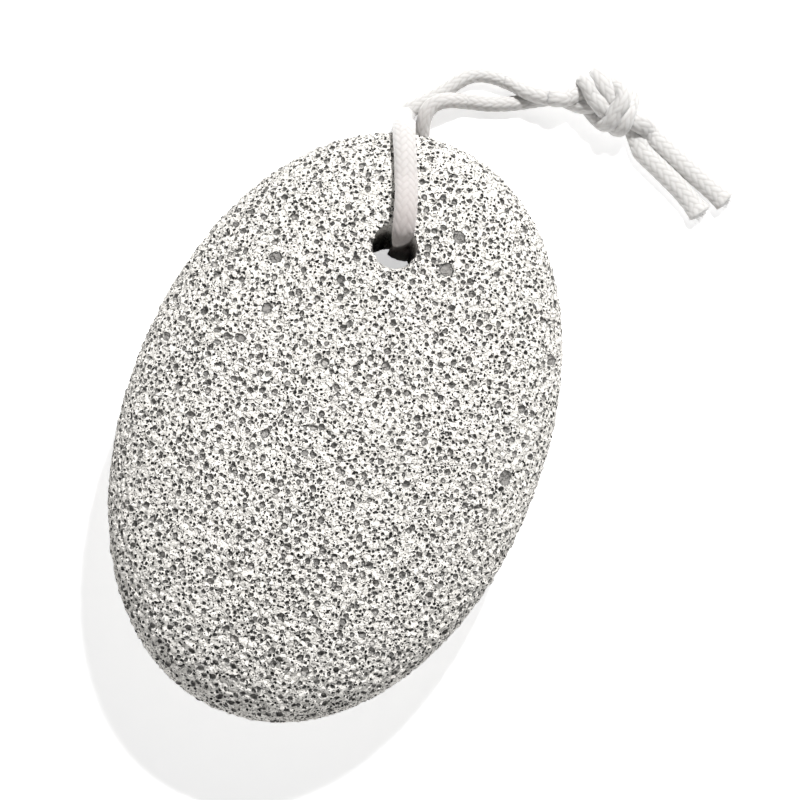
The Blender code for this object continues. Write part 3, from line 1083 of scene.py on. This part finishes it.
@dataclass
class BubbleField:
    """The open bubbles of the foamed stone: round and oval mouths that crowd its whole surface.

    A pair of numbers is the least and the greatest that a bubble draws. A bubble opens up as its
    radius, in mm, grows past opens_at: closed ones are deep and painted dark as shade, open ones
    shallow and painted paler.
    """

    seed: int = 3
    classes: tuple[BubbleSizes, ...] = (
        BubbleSizes(60, 0.55, 0.70),
        BubbleSizes(1500, 0.40, 0.54),
        BubbleSizes(5000, 0.28, 0.38),
        BubbleSizes(16000, 0.19, 0.27),
        BubbleSizes(40000, 0.11, 0.17),
    )
    # Each large bubble's place across and along the stone's face, and its radius, in mm.
    large: tuple[tuple[float, float, float], ...] = (
        (-16.6, 17.8, 0.95),
        (-15.4, 10.4, 0.85),
        (6.6, 30.8, 1.00),
        (6.7, 25.2, 1.10),
        (-17.2, 4.8, 0.75),
        (25.6, 0.8, 1.15),
        (-27.6, 1.7, 0.75),
        (25.5, 19.8, 0.90),
    )
    least_facing: float = 0.1
    wall: float = 0.05
    merged_wall: float = -0.18
    merging_share: float = 0.12
    opens_at: float = 0.22
    opening_width: float = 0.14
    # How pale each bubble's painted floor shade is: drawn at random, then darker the more closed the
    # bubble is.
    tones: tuple[float, float] = (0.35, 1.0)
    stretches: tuple[float, float] = (1.0, 1.35)
    closed_depth: float = 1.3
    opened_loss: float = 0.45
    depth_shares: tuple[float, float] = (0.8, 1.25)
    greatest_depth: float = 0.5
    large_depth: float = 0.26
    # The painted floor shade of the large bubbles.
    large_tone: float = 0.5
    cell: float = 2.1

    def cell_of(self, place: np.ndarray) -> tuple[int, ...]:
        """The cubic cell that a place lies in."""
        return tuple(np.floor(place / self.cell).astype(int).tolist())

    def take(self, place: np.ndarray, normal: np.ndarray, radius: float) -> None:
        """Adds a bubble and files it under its cell."""
        self.cells.setdefault(self.cell_of(place), []).append(len(self.chosen))
        self.chosen.append((place, normal, radius))

    def fill(self, places: np.ndarray, normals: np.ndarray) -> None:
        """Chooses the bubbles among places on the stone.

        Args:
            places: points spread evenly over the surface, in mm.
            normals: the way out at each.
        """
        draw = np.random.default_rng(self.seed)
        self.cells: dict[tuple[int, ...], list[int]] = {}
        self.chosen: list[tuple[np.ndarray, np.ndarray, float]] = []
        turned_away = FAR_MM * (normals[:, 2] < self.least_facing)
        for x, y, radius in self.large:
            near = np.hypot(places[:, 0] - x, places[:, 1] - y) + turned_away
            pick = int(np.argmin(near))
            self.take(places[pick], normals[pick], radius)
        for size in self.classes:
            picks = draw.integers(0, len(places), size.tries)
            radii = draw.uniform(size.least_radius, size.greatest_radius, size.tries)
            merging = draw.uniform(size=size.tries) < self.merging_share
            walls = np.where(merging, self.merged_wall, self.wall)
            for pick, radius, wall in zip(picks, radii, walls):
                if self.has_room(places[pick], radius + wall):
                    self.take(places[pick], normals[pick], radius)
        count = len(self.chosen)
        self.centres = np.array([bubble[0] for bubble in self.chosen])
        self.outward = np.array([bubble[1] for bubble in self.chosen])
        self.radii = np.array([bubble[2] for bubble in self.chosen])
        spin = draw.normal(size=(count, 3))
        self.along = normalised(np.cross(self.outward, spin))
        self.across = np.cross(self.outward, self.along)
        self.stretch = draw.uniform(*self.stretches, count)
        openness = np.clip((self.radii - self.opens_at) / self.opening_width, 0.0, 1.0)
        # Painted shade of each floor: random, and darker for the deep closed bubbles.
        self.tone = draw.uniform(*self.tones, count) * openness
        shares = self.closed_depth - self.opened_loss * openness
        self.depth = self.radii * shares * draw.uniform(*self.depth_shares, count)
        self.depth = np.minimum(self.depth, self.greatest_depth)
        self.depth[: len(self.large)] = self.large_depth
        self.tone[: len(self.large)] = self.large_tone

    def has_room(self, place: np.ndarray, reach: float) -> bool:
        """Tells whether a new bubble keeps clear of those taken before it.

        Args:
            place: its middle.
            reach: its radius and its wall together.

        Returns:
            Whether it does.
        """
        x, y, z = self.cell_of(place)
        px, py, pz = place.tolist()
        for i, j, k in product((x - 1, x, x + 1), (y - 1, y, y + 1), (z - 1, z, z + 1)):
            for other in self.cells.get((i, j, k), ()):
                (qx, qy, qz), _, radius = self.chosen[other]
                least = reach + radius
                if (px - qx) ** 2 + (py - qy) ** 2 + (pz - qz) ** 2 < least * least:
                    return False
        return True

    def across_mouth(self, places: np.ndarray, bubbles: np.ndarray) -> np.ndarray:
        """Finds where places lie in the mouths of bubbles.

        Args:
            places: the places, one a row.
            bubbles: the index of each one's bubble.

        Returns:
            2-D places, whose length is 1 on the rim.
        """
        away = places - self.centres[bubbles]
        u = np.einsum("ij,ij->i", away, self.along[bubbles])
        w = np.einsum("ij,ij->i", away, self.across[bubbles])
        widening = np.sqrt(self.stretch[bubbles])
        return np.stack([u / widening, w * widening], axis=1) / self.radii[bubbles, None]

    def nearest(self, places: np.ndarray, count: int) -> np.ndarray:
        """Finds the bubbles whose rims lie nearest to each place.

        Args:
            places: the places, one a row.
            count: how many are found for each.

        Returns:
            Their indices, the innermost bubble first.
        """
        grid = CellGrid(self.centres, self.cell)
        best = np.full((len(places), count), FAR_MM)
        index = np.zeros((len(places), count), int)
        for rows, bubbles in grid.pairs(places):
            inside = np.linalg.norm(self.across_mouth(places[rows], bubbles), axis=1)
            away = places[rows] - self.centres[bubbles]
            aside = np.abs(np.einsum("ij,ij->i", away, self.outward[bubbles]))
            gap = np.maximum(inside - 1, aside / self.radii[bubbles] - 1) * self.radii[bubbles]
            nearer = gap < best[rows, -1]
            rows, bubbles, gap = rows[nearer], bubbles[nearer], gap[nearer]
            best[rows, -1], index[rows, -1] = gap, bubbles
            order = np.argsort(best[rows], axis=1)
            best[rows] = np.take_along_axis(best[rows], order, axis=1)
            index[rows] = np.take_along_axis(index[rows], order, axis=1)
        return index


@dataclass
class FoamedStone:
    """The pillow of pumice, cut open all over by bubbles, with the hole drilled through it."""

    form: Pillow
    bubbles: BubbleField
    voxel: float = 0.305 * MM
    most_faces: int = 198000
    relief_mm: float = 0.36
    relief_size_mm: float = 0.75
    rim_snap_mm: float = 0.15
    wall_share: float = 0.4
    blank_rings: int = 96
    blank_segments: int = 192
    chamfer_front: float = 0.35
    chamfer_back: float = 1.6
    front_mouth: float = 25.0
    back_mouth: float = 2.6
    drill_sides: int = 64
    overshoot: float = 8.0
    under_facing: float = 0.05
    under_thinning: float = 10.0
    skin_mm: float = 0.25
    lowered_share: float = 0.35
    spots: int = 120000
    # How the painted shade on the walls of the drilled hole reaches out and fades in, in mm.
    bore_shade_reach_mm: float = 0.9
    bore_shade_fade_mm: float = 0.7
    bore_shade_depth_mm: float = 0.5
    bore_shade_deepening_mm: float = 2.5

    def blank(self) -> bpy.types.Object:
        """Makes the smooth pillow.

        Returns:
            It as a closed mesh, in metres.
        """
        shape = bmesh.new()
        bmesh.ops.create_uvsphere(
            shape, u_segments=self.blank_segments, v_segments=self.blank_rings, radius=10.0
        )
        centre = np.array([0.0, 0.0, self.form.rim_height])
        for vertex in shape.verts:
            point = centre + np.array(vertex.co)
            reach = self.form.reach(point[None])[0]
            vertex.co = Vector((centre + (point - centre) / reach) * MM)
        mesh = bpy.data.meshes.new("stone")
        shape.to_mesh(mesh)
        shape.free()
        return stand("stone", mesh)

    def drill(self) -> bpy.types.Object:
        """Makes the hole's own form: a long cylinder that widens at both mouths.

        Returns:
            It as a closed mesh, in metres.
        """
        top, bottom = self.front_mouth + self.overshoot, self.back_mouth - self.overshoot
        radius = self.form.hole_radius
        front_start = self.front_mouth - self.chamfer_front
        back_start = self.back_mouth + self.chamfer_back
        profile = (
            (bottom, radius + back_start - bottom),
            (back_start, radius),
            (front_start, radius),
            (top, radius + top - front_start),
        )
        shape = bmesh.new()
        rings = []
        for height, reach in profile:
            ring = []
            for side in range(self.drill_sides):
                turn = side * math.tau / self.drill_sides
                x = self.form.hole_x + reach * math.cos(turn)
                y = self.form.hole_y + reach * math.sin(turn)
                ring.append(shape.verts.new(Vector((x, y, height)) * MM))
            rings.append(ring)
        for low, high in zip(rings, rings[1:]):
            for side in range(self.drill_sides):
                after = (side + 1) % self.drill_sides
                shape.faces.new((low[side], low[after], high[after], high[side]))
        shape.faces.new(rings[0][::-1])
        shape.faces.new(rings[-1])
        mesh = bpy.data.meshes.new("drill")
        shape.to_mesh(mesh)
        shape.free()
        return stand("drill", mesh)

    def even_mesh(self) -> bpy.types.Mesh:
        """Makes the drilled pillow as one mesh of small even faces, fewer on the side it lies on.

        Returns:
            The mesh, in metres.
        """
        stone, drill = self.blank(), self.drill()
        cut = stone.modifiers.new("hole", "BOOLEAN")
        cut.operation = "DIFFERENCE"
        cut.object = drill
        cut.solver = "EXACT"
        even = stone.modifiers.new("even", "REMESH")
        even.mode = "VOXEL"
        even.voxel_size = self.voxel
        graph = bpy.context.evaluated_depsgraph_get()
        dense = bpy.data.meshes.new_from_object(stone.evaluated_get(graph))
        bpy.data.objects.remove(drill)
        stone.modifiers.clear()
        stone.data = dense
        normals = self.vectors_of(dense, "normal")
        under = np.nonzero(normals[:, 2] < self.under_facing)[0]
        group = stone.vertex_groups.new(name="under")
        group.add(under.tolist(), 1.0, "REPLACE")
        fewer = stone.modifiers.new("fewer", "DECIMATE")
        fewer.ratio = self.most_faces / (2 * len(dense.polygons))
        fewer.vertex_group = group.name
        fewer.vertex_group_factor = self.under_thinning
        fewer.use_collapse_triangulate = True
        graph = bpy.context.evaluated_depsgraph_get()
        mesh = bpy.data.meshes.new_from_object(stone.evaluated_get(graph))
        LOG.info("from %d faces to %d", 2 * len(dense.polygons), len(mesh.polygons))
        bpy.data.objects.remove(stone)
        return mesh

    def vectors_of(self, mesh: bpy.types.Mesh, what: str) -> np.ndarray:
        """Reads a vector from each of a mesh's points.

        Args:
            mesh: the mesh.
            what: co for the points' places, or normal for the way out at them.

        Returns:
            The vectors, one a row.
        """
        values = np.empty(len(mesh.vertices) * 3, np.float32)
        mesh.vertices.foreach_get(what, values)
        return values.reshape(-1, 3).astype(float)

    def bowl(self, inside: np.ndarray) -> np.ndarray:
        """How deep a bubble is, as a share: a flat floor, and a steep wall up to the rim at 1."""
        return np.clip((1 - inside) / self.wall_share, 0.0, 1.0) ** 0.5

    def carve(self, points: np.ndarray, normals: np.ndarray) -> np.ndarray:
        """Moves the mesh's points into the bubbles.

        Args:
            points: the smooth surface's points, in mm.
            normals: the way out at each.

        Returns:
            The moved points.
        """
        index = self.bubbles.nearest(points, 2)
        moved = points.copy()
        place = self.bubbles.across_mouth(points, index[:, 0])
        inside = np.linalg.norm(place, axis=1)
        radius = self.bubbles.radii[index[:, 0]]
        snap = np.abs(inside - 1) * radius < self.rim_snap_mm
        away = points - self.bubbles.centres[index[:, 0]]
        away -= np.einsum("ij,ij->i", away, normals)[:, None] * normals
        moved[snap] += away[snap] * (1 / inside[snap] - 1)[:, None]
        sink = np.where(snap, 0.0, self.bowl(inside) * self.bubbles.depth[index[:, 0]])
        second = np.linalg.norm(self.bubbles.across_mouth(points, index[:, 1]), axis=1)
        other = self.bowl(second) * self.bubbles.depth[index[:, 1]]
        sink = np.maximum(sink, np.where(snap, 0.0, other))
        grains = (Vector(point) / self.relief_size_mm for point in points.tolist())
        rough = np.array([noise.noise(grain) for grain in grains])
        rise = rough * self.relief_mm - sink - self.lowered_share * self.relief_mm
        moved += normals * rise[:, None]
        moved[:, 2] = np.maximum(moved[:, 2], 0.0)
        return moved

    def spread_places(
        self, points: np.ndarray, normals: np.ndarray, faces: np.ndarray
    ) -> tuple[np.ndarray, np.ndarray]:
        """Spreads places evenly over the surface, many more than there are bubbles.

        Args:
            points: the mesh's points, in mm.
            normals: the way out at each.
            faces: the mesh's triangles.

        Returns:
            The places and the way out at each.
        """
        draw = np.random.default_rng(self.bubbles.seed + 1)
        a, b, c = points[faces[:, 0]], points[faces[:, 1]], points[faces[:, 2]]
        area = np.linalg.norm(np.cross(b - a, c - a), axis=1)
        picks = draw.choice(len(faces), self.spots, p=area / area.sum())
        shares = draw.dirichlet((1.0, 1.0, 1.0), len(picks))
        places = np.einsum("ij,ijk->ik", shares, points[faces[picks]])
        return places, normalised(np.einsum("ij,ijk->ik", shares, normals[faces[picks]]))

    def store_bubbles(self, mesh: bpy.types.Mesh, points: np.ndarray, faces: np.ndarray) -> None:
        """Writes where each face's corners lie in its nearest bubbles, for the finish to draw.

        Args:
            mesh: the mesh that holds the layers.
            points: its points before they were carved, in mm.
            faces: its triangles.
        """
        index = self.bubbles.nearest(points[faces].mean(axis=1), len(BUBBLE_LAYERS))
        for rank, name in enumerate(BUBBLE_LAYERS):
            owner = np.repeat(index[:, rank], 3)
            place = self.bubbles.across_mouth(points[faces.ravel()], owner)
            values = np.column_stack([place, self.bubbles.tone[owner]]).astype(np.float32)
            layer = mesh.attributes.new(name, "FLOAT_VECTOR", "CORNER")
            layer.data.foreach_set("vector", values.ravel())
            width = mesh.attributes.new(name + "_radius", "FLOAT", "CORNER")
            width.data.foreach_set("value", self.bubbles.radii[owner].astype(np.float32))

    def store_painted_bore_shade(self, mesh: bpy.types.Mesh, points: np.ndarray) -> None:
        """Writes the mask of painted shade down the drilled hole: how far down it each point lies,
        from 0 to 1.

        Args:
            mesh: the mesh that holds the layer.
            points: its points before they were carved, in mm.
        """
        from_axis, _ = self.form.from_bore(points)
        depth, _ = self.form.outward(points)
        reach = self.form.hole_radius + self.bore_shade_reach_mm
        bore = np.clip((reach - from_axis) / self.bore_shade_fade_mm, 0.0, 1.0)
        bore *= np.clip((-self.bore_shade_depth_mm - depth) / self.bore_shade_deepening_mm, 0.0, 1.0)
        layer = mesh.attributes.new("bore", "FLOAT", "POINT")
        layer.data.foreach_set("value", bore.astype(np.float32))

    def build(self, finish: "StoneFinish") -> bpy.types.Object:
        """Makes the stone.

        Args:
            finish: its finish.

        Returns:
            The object, which stands for the smooth solid.
        """
        mesh = self.even_mesh()
        points = self.vectors_of(mesh, "co") / MM
        normals = self.vectors_of(mesh, "normal")
        depth, out = self.form.outward(points)
        outer = np.abs(depth) < self.skin_mm
        points[outer] -= depth[outer, None] * out[outer]
        LOG.info("%d points, %d faces", len(points), len(mesh.polygons))
        corners = np.empty(len(mesh.loops), np.int32)
        mesh.loops.foreach_get("vertex_index", corners)
        faces = corners.reshape(-1, 3)
        self.bubbles.fill(*self.spread_places(points, normals, faces))
        LOG.info("%d bubbles", len(self.bubbles.radii))
        moved = self.carve(points, normals)
        self.store_bubbles(mesh, points, faces)
        self.store_painted_bore_shade(mesh, points)
        mesh.vertices.foreach_set("co", (moved * MM).astype(np.float32).ravel())
        mesh.update()
        mesh.shade_flat()
        mesh.name = "pumice"
        stone = stand("pumice", mesh)
        mesh.materials.clear()
        mesh.materials.append(finish.build())
        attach(stone, "root")
        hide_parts("pumice_stone")
        return stone


@dataclass(frozen=True)
class StoneFinish:
    """Dry pumice: warm white walls between bubbles, bubble floors, inner walls and pinholes painted
    darker as shade, painted shade down the drilled hole, fine open grain all over.

    A span is where a soft step starts and ends: in a bubble, mm inward from its rim.
    """

    wall: Colour = (0.845, 0.82, 0.775, 1.0)
    # Painted shade inside the bubbles: grey inner walls, and floors from pale grey to near black.
    painted_wall_shade: Colour = (0.28, 0.275, 0.265, 1.0)
    painted_floor_shade: Colour = (0.56, 0.54, 0.515, 1.0)
    painted_deep_shade: Colour = (0.008, 0.0078, 0.0075, 1.0)
    # Painted shade on the walls of the drilled hole.
    bore: Colour = (0.06, 0.057, 0.053, 1.0)
    roughness: float = 0.95
    specular: float = 0.15
    painted_wall_shade_radii: tuple[float, float] = (0.2, 0.45)
    rim_span: tuple[float, float] = (-0.01, 0.05)
    wall_span: tuple[float, float] = (0.0, 0.24)
    floor_span: tuple[float, float] = (0.12, 0.3)
    least_depth_mm: float = 0.12
    mouth_depth_share: float = 0.5
    wobble: float = 0.3
    wobble_scale: float = 2200.0
    wobble_detail: float = 1.0
    grain_depth_mm: float = 0.35
    pit_scale: float = 1300.0
    pit_span: tuple[float, float] = (0.43, 0.56)
    pit_depth_mm: float = 0.4
    pinhole_scale: float = 2000.0
    pinhole_reach: float = 0.24
    pinhole_rim: float = 0.7

    def uneven(self, wiring: Wiring) -> bpy.types.NodeSocket:
        """Makes the drift that turns the bubbles' round mouths uneven.

        Args:
            wiring: the material's wiring.

        Returns:
            A vector about zero.
        """
        inputs = {
            "Vector": wiring.here(),
            "Scale": self.wobble_scale,
            "Detail": self.wobble_detail,
        }
        drift = wiring.add("TexNoise", inputs).outputs["Color"]
        centred = wiring.vector("SUBTRACT", {0: drift, 1: (0.5, 0.5, 0.5)})
        return wiring.vector("SCALE", {0: centred, "Scale": 2 * self.wobble})

    def pinholes(self, wiring: Wiring) -> bpy.types.NodeSocket:
        """Makes the pinholes of the walls, which are painted near black as shade.

        Args:
            wiring: the material's wiring.

        Returns:
            How far in a pinhole each place lies, from 0 to 1.
        """
        inputs = {"Vector": wiring.here(), "Scale": self.pinhole_scale}
        distance = wiring.add("TexVoronoi", inputs).outputs["Distance"]
        return wiring.step(distance, (self.pinhole_reach, self.pinhole_reach * self.pinhole_rim))

    def bubbles(
        self,
        wiring: Wiring,
        layer: str,
        wobble: bpy.types.NodeSocket,
        around: bpy.types.NodeSocket,
    ) -> tuple[bpy.types.NodeSocket, bpy.types.NodeSocket]:
        """Draws the mouths of the bubbles that one of the mesh's layers holds.

        Args:
            wiring: the material's wiring.
            layer: the layer's name.
            wobble: the vector that makes the mouths uneven.
            around: the colour round them.

        Returns:
            The colour with the mouths' painted shade in it, and how deep each place lies in one, in
            mm.
        """
        place = wiring.held(layer, "Vector")
        radius = wiring.held(layer + "_radius")
        moved = wiring.add("SeparateXYZ", {0: wiring.vector("ADD", {0: place, 1: wobble})})
        flat = wiring.add("CombineXYZ", {"X": moved.outputs["X"], "Y": moved.outputs["Y"]})
        length = wiring.vector("LENGTH", {0: flat.outputs["Vector"]}, "Value")
        inward = wiring.maths("SUBTRACT", radius, wiring.maths("MULTIPLY", length, radius))
        tone = wiring.add("SeparateXYZ", {0: place}).outputs["Z"]
        # The floor is painted as shade, darker for deep closed bubbles and at random.
        floor = wiring.mixed(tone, self.painted_deep_shade, self.painted_floor_shade)
        narrow, wide = self.painted_wall_shade_radii
        lit = wiring.add("MapRange", {"Value": radius, "From Min": narrow, "From Max": wide})
        # The inner walls are painted as shade, near black in narrow bubbles.
        side = wiring.mixed(lit.outputs["Result"], self.painted_deep_shade, self.painted_wall_shade)
        inside = wiring.mixed(wiring.step(inward, self.floor_span), side, floor)
        colour = wiring.mixed(wiring.step(inward, self.rim_span), around, inside)
        whole = (radius, self.mouth_depth_share, self.least_depth_mm)
        sunk = wiring.step(inward, self.wall_span)
        return colour, wiring.maths("MULTIPLY", sunk, wiring.maths("MULTIPLY_ADD", *whole))

    def relief(self, wiring: Wiring, sunk: Value) -> bpy.types.NodeSocket:
        """Makes the relief that is too fine for the mesh.

        Args:
            wiring: the material's wiring.
            sunk: how deep each place lies in a bubble, in mm.

        Returns:
            How high each place lies, in mm.
        """
        grain = FineGrainGroup().place(wiring, Grain.STONE, self.pit_scale)
        pit = wiring.step(grain.outputs["Mottle"], self.pit_span, self.pit_depth_mm)
        raised = wiring.maths("MULTIPLY_ADD", grain.outputs["Height"], self.grain_depth_mm, pit)
        return wiring.maths("MULTIPLY_ADD", sunk, -1.0, raised)

    def build(self) -> bpy.types.Material:
        """Makes the material, drawing each face's nearest bubble last.

        Returns:
            The material.
        """
        material, wiring = new_material("pumice")
        wobble = self.uneven(wiring)
        # The pinholes are painted near black as shade.
        colour = wiring.mixed(self.pinholes(wiring), self.wall, self.painted_deep_shade)
        sunk: Value = 0.0
        for layer in reversed(BUBBLE_LAYERS):
            colour, depth = self.bubbles(wiring, layer, wobble, colour)
            sunk = wiring.maths("MAXIMUM", sunk, depth)
        # The walls of the drilled hole are painted near black as shade.
        wiring.dress(
            Base_Color=wiring.mixed(wiring.held("bore"), colour, self.bore),
            Roughness=self.roughness,
            Specular_IOR_Level=self.specular,
            Normal=wiring.bump(self.relief(wiring, sunk), distance=1.0 * MM),
        )
        return material


@dataclass(frozen=True)
class Lamp:
    """A square soft light some way from the stone, which it faces."""

    name: str
    towards: tuple[float, float, float]
    distance: float
    size: float
    watts: float

    def build(self, aim: Vector) -> None:
        """Makes the light.

        Args:
            aim: the place that it faces, towards which its own way is measured.
        """
        data = bpy.data.lights.new(self.name, "AREA")
        data.size = self.size
        data.energy = self.watts
        towards = Vector(self.towards)
        light = bpy.data.objects.new(self.name, data)
        light.location = aim + towards.normalized() * self.distance
        light.rotation_euler = towards.to_track_quat("Z", "Y").to_euler()
        bpy.context.scene.collection.objects.link(light)


@dataclass(frozen=True)
class Studio:
    """The camera over the stone, the pale table and soft light from the far end.

    The table glows from glow_span on, in shares of the oval that the stone covers.
    """

    elevation: float = math.radians(81.0)
    roll: float = math.radians(21.77)
    distance: float = 0.7
    aim: tuple[float, float, float] = (7.28 * MM, 6.84 * MM, 14.083 * MM)
    pixels_a_mm: float = 6.853
    image_width: int = 800
    sensor: float = 36.0
    camera_reach: float = 20.0
    lamps: tuple[Lamp, ...] = (
        Lamp("key", (0.0, 1.0, 1.2), 3.0, 0.3, 148.0),
        Lamp("fill", (0.05, -0.9, 1.0), 2.0, 0.5, 10.0),
    )
    table_size: float = 4.0
    table_colour: Colour = (0.85, 0.85, 0.85, 1.0)
    table_roughness: float = 0.9
    table_glow: float = 0.45
    glow_through_hole: float = 0.58
    glow_oval: tuple[float, float] = (30.6 * MM, 45.0 * MM)
    glow_span: tuple[float, float] = (0.9, 1.16)
    white: Colour = (1.0, 1.0, 1.0, 1.0)
    surrounding_light: float = 0.1
    surrounding_seen: float = 1.0

    def place_camera(self) -> None:
        """Looks down on the stone from its near end, turned a little about the line of sight."""
        back = Vector((0.0, -math.cos(self.elevation), math.sin(self.elevation)))
        right = Vector((1.0, 0.0, 0.0))
        up = back.cross(right)
        turned = right * math.cos(self.roll) + up * math.sin(self.roll)
        axes = Matrix((turned, back.cross(turned), back)).transposed()
        data = bpy.data.cameras.new("camera")
        data.sensor_width = self.sensor
        data.lens = self.pixels_a_mm * self.distance / MM * self.sensor / self.image_width
        data.clip_end = self.camera_reach
        camera = bpy.data.objects.new("camera", data)
        place = Vector(self.aim) + back * self.distance
        camera.matrix_world = Matrix.Translation(place) @ axes.to_4x4()
        bpy.context.scene.collection.objects.link(camera)
        bpy.context.scene.camera = camera

    def make_table_glow(self, wiring: Wiring) -> None:
        """Lets the table glow all round the stone, and under it only to the camera.

        Args:
            wiring: the wiring of the table's material.
        """
        width, length = self.glow_oval
        inputs = {"Vector": wiring.here(), "Scale": (1 / width, 1 / length, 0.0)}
        oval = wiring.add("Mapping", inputs).outputs["Vector"]
        reach = wiring.vector("LENGTH", {0: oval}, "Value")
        glow = wiring.step(reach, self.glow_span, self.table_glow)
        seen = wiring.add("LightPath").outputs["Is Camera Ray"]
        through_hole = wiring.maths("MULTIPLY", seen, self.glow_through_hole)
        wiring.dress(
            Emission_Color=self.white,
            Emission_Strength=wiring.maths("MAXIMUM", through_hole, glow),
        )

    def surround(self) -> None:
        """Makes the surroundings: white to the camera, and a dim light to the part."""
        world = bpy.data.worlds.new("surroundings")
        world.use_nodes = True
        wiring = Wiring(world.node_tree)
        inputs = {
            "Value": wiring.add("LightPath").outputs["Is Camera Ray"],
            "To Min": self.surrounding_light,
            "To Max": self.surrounding_seen,
        }
        background = world.node_tree.nodes["Background"].inputs
        wiring.feed(background["Color"], self.white)
        wiring.feed(background["Strength"], wiring.add("MapRange", inputs).outputs["Result"])
        bpy.context.scene.world = world

    def build(self) -> None:
        """Makes the camera, the table, the lights and the pale surroundings."""
        self.place_camera()
        bpy.ops.mesh.primitive_plane_add(size=self.table_size)
        table = bpy.context.object
        table.name = "table"
        material, wiring = new_material("table")
        wiring.dress(Base_Color=self.table_colour, Roughness=self.table_roughness)
        self.make_table_glow(wiring)
        table.data.materials.append(material)
        for lamp in self.lamps:
            lamp.build(Vector(self.aim))
        self.surround()
        bpy.context.scene.view_settings.view_transform = "Standard"


def main() -> None:
    """Builds the studio, the cord and the stone in turn."""
    logging.basicConfig(level=logging.INFO, format="%(name)s: %(message)s")
    Studio().build()
    LOG.info("studio ready")
    pillow = Pillow()
    HangingCord(pillow).build(CordFinish())
    LOG.info("cord ready")
    FoamedStone(pillow, BubbleField()).build(StoneFinish())
    LOG.info("stone ready")


if __name__ == "__main__":
    main()
